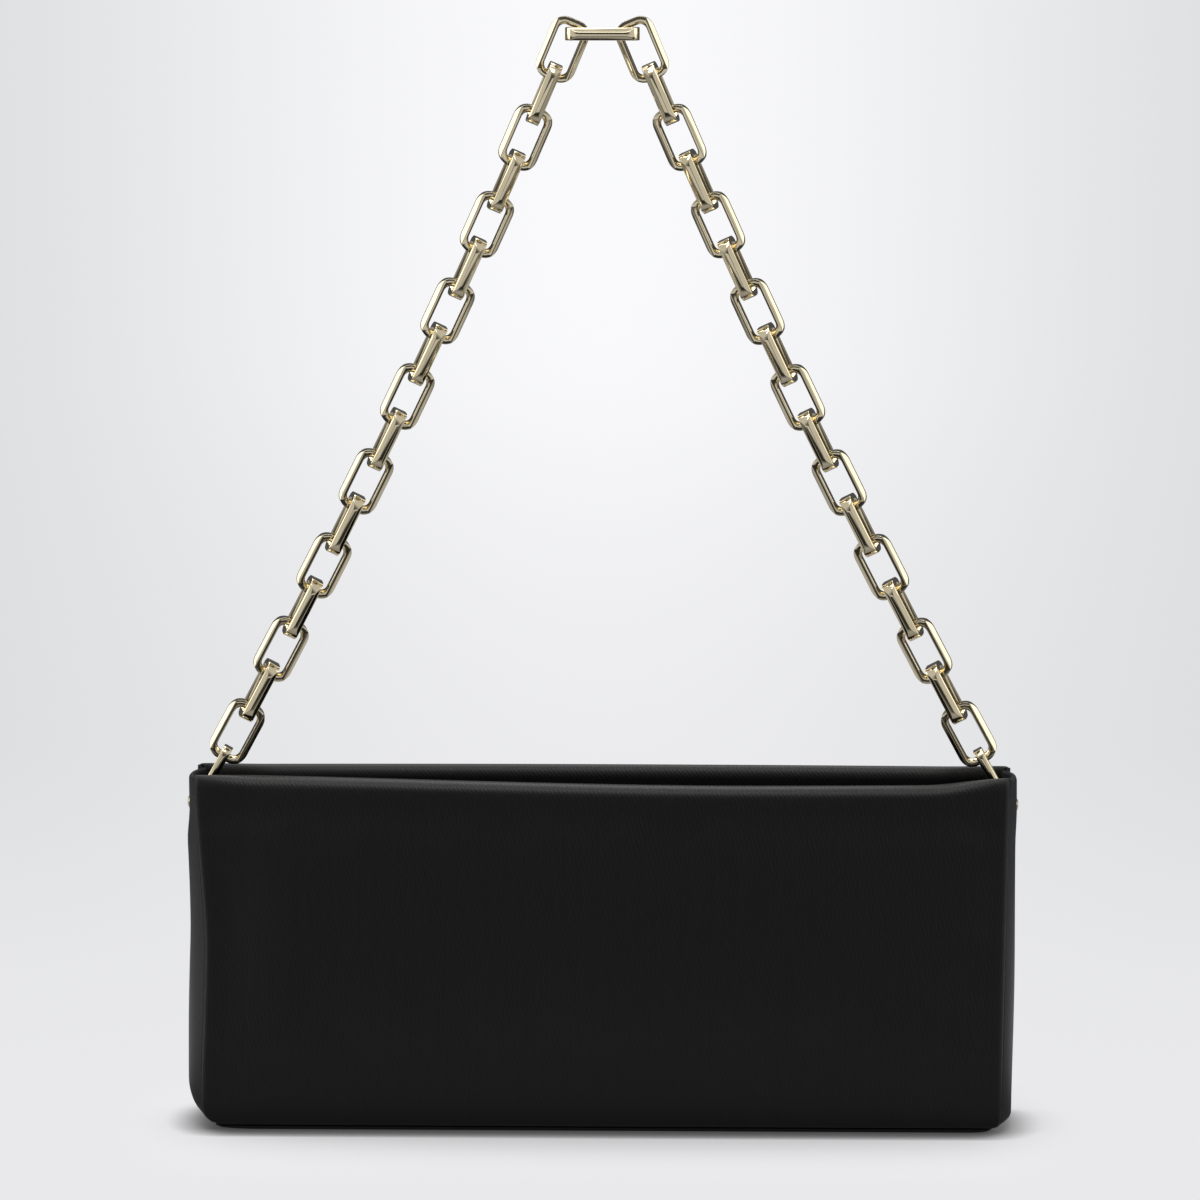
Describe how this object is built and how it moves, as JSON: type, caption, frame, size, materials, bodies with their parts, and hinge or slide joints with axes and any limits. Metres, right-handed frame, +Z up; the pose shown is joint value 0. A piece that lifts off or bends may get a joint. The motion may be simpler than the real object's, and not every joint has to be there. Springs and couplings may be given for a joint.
{
  "type": "clutch bag",
  "caption": "Slim rectangular satin clutch bag with padded walls, end gussets, an open mouth with a magnetic snap and a short polished chain strap.",
  "frame": {"origin": "on the floor, under the middle of the bag", "axes": "+Z up, +X along the bag towards the right end as seen from the front, front faces -Y"},
  "size_m": [0.2764, 0.048, 0.3676],
  "materials": {
    "black_satin": "woven satin over thin foam, soft sheen along folds",
    "black_lining": "plain woven lining, matt",
    "stiffener_board": "uncoated bag board",
    "black_leather": "smooth calf, glossy painted edges",
    "pale_gold": "polished pale champagne gold plating",
    "magnet_steel": "nickel plated magnetic snap"
  },
  "bodies": {
    "bag": {"base_panel": "black_satin", "base_board": "stiffener_board", "base_lining": "black_lining", "left_gusset": "black_satin", "right_gusset": "black_satin", "left_gusset_lining": "black_lining", "right_gusset_lining": "black_lining", "left_anchor_tab": "black_leather", "right_anchor_tab": "black_leather", "left_stud": "pale_gold", "right_stud": "pale_gold"},
    "front_wall": {"front_panel": "black_satin", "front_board": "stiffener_board", "front_facing": "black_satin", "front_lining": "black_lining", "front_magnet": "magnet_steel"},
    "back_wall": {"back_panel": "black_satin", "back_board": "stiffener_board", "back_facing": "black_satin", "back_lining": "black_lining", "back_magnet": "magnet_steel", "slip_pocket": "black_lining"},
    "strap_rings": {"left_anchor_ring": "pale_gold", "right_anchor_ring": "pale_gold"},
    "strap_row_01": {"left_link_01": "pale_gold", "right_link_01": "pale_gold"},
    "strap_row_02": {"left_link_02": "pale_gold", "right_link_02": "pale_gold"},
    "strap_row_03": {"left_link_03": "pale_gold", "right_link_03": "pale_gold"},
    "strap_row_04": {"left_link_04": "pale_gold", "right_link_04": "pale_gold"},
    "strap_row_05": {"left_link_05": "pale_gold", "right_link_05": "pale_gold"},
    "strap_row_06": {"left_link_06": "pale_gold", "right_link_06": "pale_gold"},
    "strap_row_07": {"left_link_07": "pale_gold", "right_link_07": "pale_gold"},
    "strap_row_08": {"left_link_08": "pale_gold", "right_link_08": "pale_gold"},
    "strap_row_09": {"left_link_09": "pale_gold", "right_link_09": "pale_gold"},
    "strap_row_10": {"left_link_10": "pale_gold", "right_link_10": "pale_gold"},
    "strap_row_11": {"left_link_11": "pale_gold", "right_link_11": "pale_gold"},
    "strap_row_12": {"left_link_12": "pale_gold", "right_link_12": "pale_gold"},
    "strap_row_13": {"left_link_13": "pale_gold", "right_link_13": "pale_gold"},
    "strap_row_14": {"left_link_14": "pale_gold", "right_link_14": "pale_gold"},
    "strap_row_15": {"left_link_15": "pale_gold", "right_link_15": "pale_gold"},
    "strap_row_16": {"left_link_16": "pale_gold", "right_link_16": "pale_gold"},
    "strap_row_17": {"left_link_17": "pale_gold", "right_link_17": "pale_gold"},
    "strap_top": {"top_link": "pale_gold"}
  },
  "joints": [
    {"name": "front_wall_swing", "type": "hinge", "parent": "bag", "child": "front_wall", "pos_m": [0, -0.023, 0.0006], "axis": [1, 0, 0], "range_deg": [-2.5, 4], "stiffness_Nm_per_rad": 0.3, "deforming": ["left_gusset", "right_gusset", "left_gusset_lining", "right_gusset_lining"]},
    {"name": "back_wall_swing", "type": "hinge", "parent": "bag", "child": "back_wall", "pos_m": [0, 0.023, 0.0006], "axis": [-1, 0, 0], "range_deg": [-2.5, 4], "stiffness_Nm_per_rad": 0.3, "deforming": ["left_gusset", "right_gusset", "left_gusset_lining", "right_gusset_lining"]},
    {"name": "ring_swing", "type": "hinge", "parent": "bag", "child": "strap_rings", "pos_m": [0, 0, 0.113], "axis": [1, 0, 0], "range_deg": [-18, 18]},
    {"name": "row_01_swing", "type": "hinge", "parent": "strap_rings", "child": "strap_row_01", "pos_m": [0, 0, 0.12246], "axis": [1, 0, 0], "range_deg": [-30, 30]},
    {"name": "row_02_swing", "type": "hinge", "parent": "strap_row_01", "child": "strap_row_02", "pos_m": [0, 0, 0.1389], "axis": [-1, 0, 0], "range_deg": [-30, 30]},
    {"name": "row_03_swing", "type": "hinge", "parent": "strap_row_02", "child": "strap_row_03", "pos_m": [0, 0, 0.15011], "axis": [1, 0, 0], "range_deg": [-30, 30]},
    {"name": "row_04_swing", "type": "hinge", "parent": "strap_row_03", "child": "strap_row_04", "pos_m": [0, 0, 0.16666], "axis": [-1, 0, 0], "range_deg": [-30, 30]},
    {"name": "row_05_swing", "type": "hinge", "parent": "strap_row_04", "child": "strap_row_05", "pos_m": [0, 0, 0.17794], "axis": [1, 0, 0], "range_deg": [-30, 30]},
    {"name": "row_06_swing", "type": "hinge", "parent": "strap_row_05", "child": "strap_row_06", "pos_m": [0, 0, 0.19459], "axis": [-1, 0, 0], "range_deg": [-30, 30]},
    {"name": "row_07_swing", "type": "hinge", "parent": "strap_row_06", "child": "strap_row_07", "pos_m": [0, 0, 0.20594], "axis": [1, 0, 0], "range_deg": [-30, 30]},
    {"name": "row_08_swing", "type": "hinge", "parent": "strap_row_07", "child": "strap_row_08", "pos_m": [0, 0, 0.2227], "axis": [-1, 0, 0], "range_deg": [-30, 30]},
    {"name": "row_09_swing", "type": "hinge", "parent": "strap_row_08", "child": "strap_row_09", "pos_m": [0, 0, 0.23412], "axis": [1, 0, 0], "range_deg": [-30, 30]},
    {"name": "row_10_swing", "type": "hinge", "parent": "strap_row_09", "child": "strap_row_10", "pos_m": [0, 0, 0.25098], "axis": [-1, 0, 0], "range_deg": [-30, 30]},
    {"name": "row_11_swing", "type": "hinge", "parent": "strap_row_10", "child": "strap_row_11", "pos_m": [0, 0, 0.26247], "axis": [1, 0, 0], "range_deg": [-30, 30]},
    {"name": "row_12_swing", "type": "hinge", "parent": "strap_row_11", "child": "strap_row_12", "pos_m": [0, 0, 0.27943], "axis": [-1, 0, 0], "range_deg": [-30, 30]},
    {"name": "row_13_swing", "type": "hinge", "parent": "strap_row_12", "child": "strap_row_13", "pos_m": [0, 0, 0.29098], "axis": [1, 0, 0], "range_deg": [-30, 30]},
    {"name": "row_14_swing", "type": "hinge", "parent": "strap_row_13", "child": "strap_row_14", "pos_m": [0, 0, 0.30803], "axis": [-1, 0, 0], "range_deg": [-30, 30]},
    {"name": "row_15_swing", "type": "hinge", "parent": "strap_row_14", "child": "strap_row_15", "pos_m": [0, 0, 0.31965], "axis": [1, 0, 0], "range_deg": [-30, 30]},
    {"name": "row_16_swing", "type": "hinge", "parent": "strap_row_15", "child": "strap_row_16", "pos_m": [0, 0, 0.3368], "axis": [-1, 0, 0], "range_deg": [-30, 30]},
    {"name": "row_17_swing", "type": "hinge", "parent": "strap_row_16", "child": "strap_row_17", "pos_m": [0, 0, 0.34847], "axis": [1, 0, 0], "range_deg": [-30, 30]},
    {"name": "top_link_swing", "type": "hinge", "parent": "strap_row_17", "child": "strap_top", "pos_m": [0, 0, 0.36571], "axis": [-1, 0, 0], "range_deg": [-20, 20]}
  ]
}
